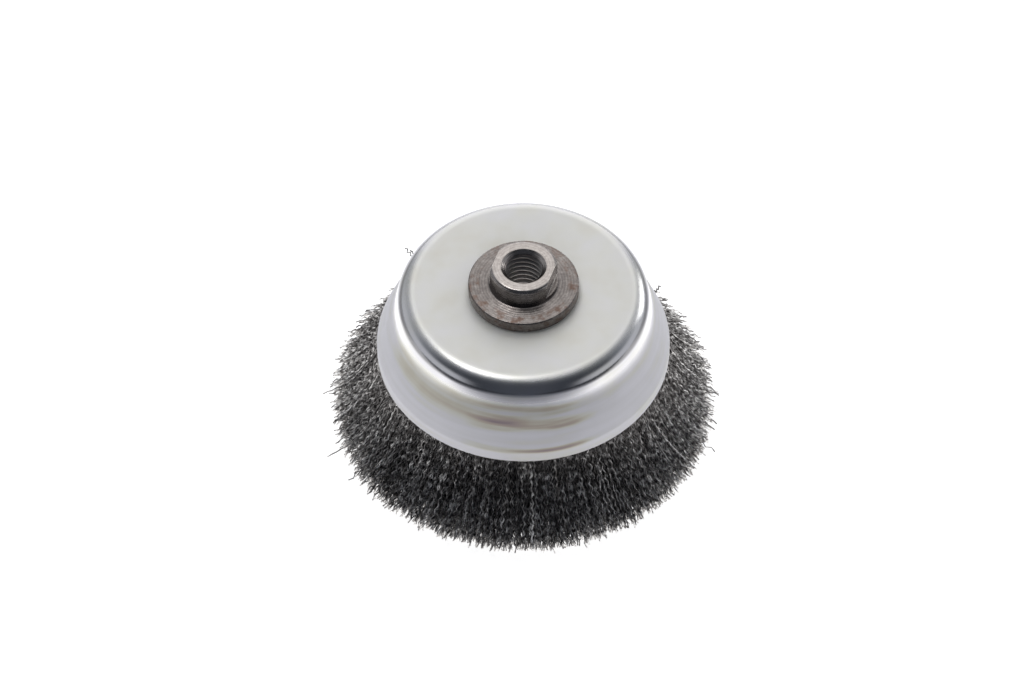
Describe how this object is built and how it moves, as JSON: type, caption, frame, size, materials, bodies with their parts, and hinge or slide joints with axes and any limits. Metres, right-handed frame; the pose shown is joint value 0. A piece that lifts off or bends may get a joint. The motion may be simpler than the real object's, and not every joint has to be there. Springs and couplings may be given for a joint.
{
  "type": "crimped-wire cup brush",
  "caption": "Steel cup brush for an angle grinder: pressed cup on a threaded flanged hub with wrench flats, and a flared skirt of crimped steel wire for removing rust and paint.",
  "frame": {"origin": "middle of the plane that the wire tips stand on and work in", "axes": "+Z along the spindle axis, from the wire tips up towards the grinder; +X through the middle of wire bundle 01"},
  "size_m": [0.1246, 0.1246, 0.071],
  "materials": {
    "zinc_plated_steel": "bright zinc plating with a faint yellow-blue passivation",
    "turned_steel": "turned bare steel, oiled, with light rust marks",
    "plain_steel": "bare cold-rolled steel",
    "wire_steel": "drawn and crimped high-carbon steel wire, dark with oil"
  },
  "bodies": {
    "hub_and_cup": {"hub_nut": "turned_steel", "cup_shell": "zinc_plated_steel", "inner_cup": "zinc_plated_steel", "rivet_washer": "plain_steel", "anchor_ring": "plain_steel", "wire_root_01": "wire_steel", "wire_root_02": "wire_steel", "wire_root_03": "wire_steel", "wire_root_04": "wire_steel", "wire_root_05": "wire_steel", "wire_root_06": "wire_steel", "wire_root_07": "wire_steel", "wire_root_08": "wire_steel", "wire_root_09": "wire_steel", "wire_root_10": "wire_steel", "wire_root_11": "wire_steel", "wire_root_12": "wire_steel"},
    "wire_bundle_01_body": {"wire_bundle_01": "wire_steel"},
    "wire_bundle_02_body": {"wire_bundle_02": "wire_steel"},
    "wire_bundle_03_body": {"wire_bundle_03": "wire_steel"},
    "wire_bundle_04_body": {"wire_bundle_04": "wire_steel"},
    "wire_bundle_05_body": {"wire_bundle_05": "wire_steel"},
    "wire_bundle_06_body": {"wire_bundle_06": "wire_steel"},
    "wire_bundle_07_body": {"wire_bundle_07": "wire_steel"},
    "wire_bundle_08_body": {"wire_bundle_08": "wire_steel"},
    "wire_bundle_09_body": {"wire_bundle_09": "wire_steel"},
    "wire_bundle_10_body": {"wire_bundle_10": "wire_steel"},
    "wire_bundle_11_body": {"wire_bundle_11": "wire_steel"},
    "wire_bundle_12_body": {"wire_bundle_12": "wire_steel"}
  },
  "joints": [
    {"name": "wire_flex_01", "type": "hinge", "parent": "hub_and_cup", "child": "wire_bundle_01_body", "pos_m": [0.04105, 0, 0.031], "axis": [0, -1, 0], "range_deg": [-5, 12], "stiffness_Nm_per_rad": 1},
    {"name": "wire_flex_02", "type": "hinge", "parent": "hub_and_cup", "child": "wire_bundle_02_body", "pos_m": [0.03555, 0.02052, 0.031], "axis": [0.5, -0.866, 0], "range_deg": [-5, 12], "stiffness_Nm_per_rad": 1},
    {"name": "wire_flex_03", "type": "hinge", "parent": "hub_and_cup", "child": "wire_bundle_03_body", "pos_m": [0.02052, 0.03555, 0.031], "axis": [0.866, -0.5, 0], "range_deg": [-5, 12], "stiffness_Nm_per_rad": 1},
    {"name": "wire_flex_04", "type": "hinge", "parent": "hub_and_cup", "child": "wire_bundle_04_body", "pos_m": [0, 0.04105, 0.031], "axis": [1, 0, 0], "range_deg": [-5, 12], "stiffness_Nm_per_rad": 1},
    {"name": "wire_flex_05", "type": "hinge", "parent": "hub_and_cup", "child": "wire_bundle_05_body", "pos_m": [-0.02052, 0.03555, 0.031], "axis": [0.866, 0.5, 0], "range_deg": [-5, 12], "stiffness_Nm_per_rad": 1},
    {"name": "wire_flex_06", "type": "hinge", "parent": "hub_and_cup", "child": "wire_bundle_06_body", "pos_m": [-0.03555, 0.02052, 0.031], "axis": [0.5, 0.866, 0], "range_deg": [-5, 12], "stiffness_Nm_per_rad": 1},
    {"name": "wire_flex_07", "type": "hinge", "parent": "hub_and_cup", "child": "wire_bundle_07_body", "pos_m": [-0.04105, 0, 0.031], "axis": [0, 1, 0], "range_deg": [-5, 12], "stiffness_Nm_per_rad": 1},
    {"name": "wire_flex_08", "type": "hinge", "parent": "hub_and_cup", "child": "wire_bundle_08_body", "pos_m": [-0.03555, -0.02052, 0.031], "axis": [-0.5, 0.866, 0], "range_deg": [-5, 12], "stiffness_Nm_per_rad": 1},
    {"name": "wire_flex_09", "type": "hinge", "parent": "hub_and_cup", "child": "wire_bundle_09_body", "pos_m": [-0.02052, -0.03555, 0.031], "axis": [-0.866, 0.5, 0], "range_deg": [-5, 12], "stiffness_Nm_per_rad": 1},
    {"name": "wire_flex_10", "type": "hinge", "parent": "hub_and_cup", "child": "wire_bundle_10_body", "pos_m": [0, -0.04105, 0.031], "axis": [-1, 0, 0], "range_deg": [-5, 12], "stiffness_Nm_per_rad": 1},
    {"name": "wire_flex_11", "type": "hinge", "parent": "hub_and_cup", "child": "wire_bundle_11_body", "pos_m": [0.02052, -0.03555, 0.031], "axis": [-0.866, -0.5, 0], "range_deg": [-5, 12], "stiffness_Nm_per_rad": 1},
    {"name": "wire_flex_12", "type": "hinge", "parent": "hub_and_cup", "child": "wire_bundle_12_body", "pos_m": [0.03555, -0.02052, 0.031], "axis": [-0.5, -0.866, 0], "range_deg": [-5, 12], "stiffness_Nm_per_rad": 1}
  ]
}
